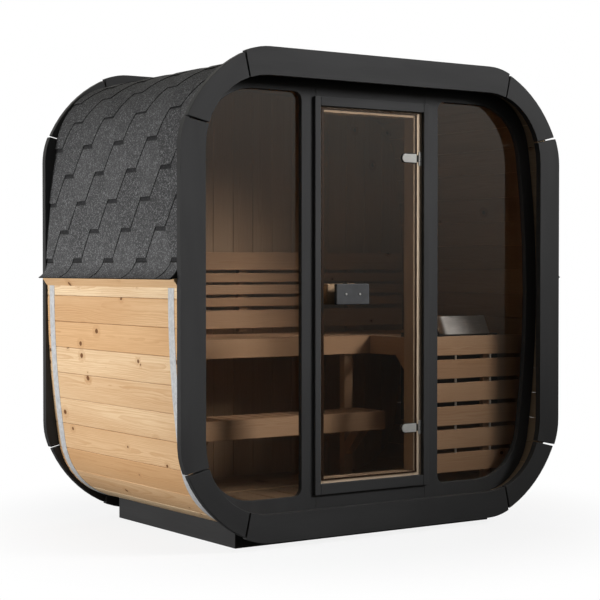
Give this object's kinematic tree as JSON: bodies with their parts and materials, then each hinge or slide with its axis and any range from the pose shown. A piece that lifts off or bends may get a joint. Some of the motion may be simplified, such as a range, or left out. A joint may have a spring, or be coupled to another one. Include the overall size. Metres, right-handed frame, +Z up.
{
  "type": "cube sauna",
  "caption": "Square outdoor sauna cabin with bulging stave walls, shingled upper half, glazed front wall, hinged glass door, benches and a guarded heater.",
  "frame": {"origin": "centre of the footprint at ground level", "axes": "+X to the right seen from the front, +Y from the front wall to the back wall, +Z up"},
  "size_m": [2.136, 1.264, 2.092],
  "materials": {
    "grey_paint": "dark grey opaque stain on planed boards",
    "spruce": "planed spruce staves with knots",
    "warm_timber": "planed warm-toned timber",
    "tinted_glass": "clear, slightly bronze toughened glass",
    "shingle": "charcoal bitumen shingle with mineral granules",
    "galvanised_steel": "light galvanised strip",
    "satin_steel": "satin",
    "brushed_steel": "brushed sheet",
    "dark_metal": "black heat-proof enamel"
  },
  "bodies": {
    "cabin": {"plinth_sides": "grey_paint", "plinth_ends": "grey_paint", "shell_floor": "spruce", "shell_left": "spruce", "shell_right": "spruce", "shell_roof": "spruce", "shell_corners_lower": "spruce", "shell_corners_upper": "spruce", "back_wall": "spruce", "front_wall_left": "grey_paint", "front_wall_right": "grey_paint", "front_wall_head": "grey_paint", "front_wall_sill": "grey_paint", "window_left_glass": "tinted_glass", "window_right_glass": "tinted_glass", "door_jambs": "grey_paint", "door_head": "grey_paint", "door_threshold": "grey_paint", "front_fascia_boards": "grey_paint", "front_fascia_corners": "grey_paint", "rear_fascia_boards": "grey_paint", "rear_fascia_corners": "grey_paint", "roof_shingles": "shingle", "drip_battens": "spruce", "drip_edges": "shingle", "steel_band_front": "galvanised_steel", "steel_band_rear": "galvanised_steel", "upper_bench": "warm_timber", "lower_bench": "warm_timber", "bench_posts": "warm_timber", "bench_braces": "warm_timber", "backrest_boards": "warm_timber", "backrest_battens": "warm_timber", "heater_body": "dark_metal", "heater_collar": "brushed_steel", "heater_guard": "warm_timber", "guard_posts": "warm_timber", "guard_rail": "warm_timber", "hinge_plates": "satin_steel"},
    "door": {"door_glass": "tinted_glass", "hinge_clamps": "satin_steel", "handle_outer": "grey_paint", "handle_inner": "warm_timber", "handle_screws": "satin_steel"}
  },
  "joints": [
    {"name": "door_hinge", "type": "hinge", "parent": "cabin", "child": "door", "pos_m": [0.251, -0.541, 1.062], "axis": [0, 0, 1], "range_deg": [0, 100]}
  ]
}
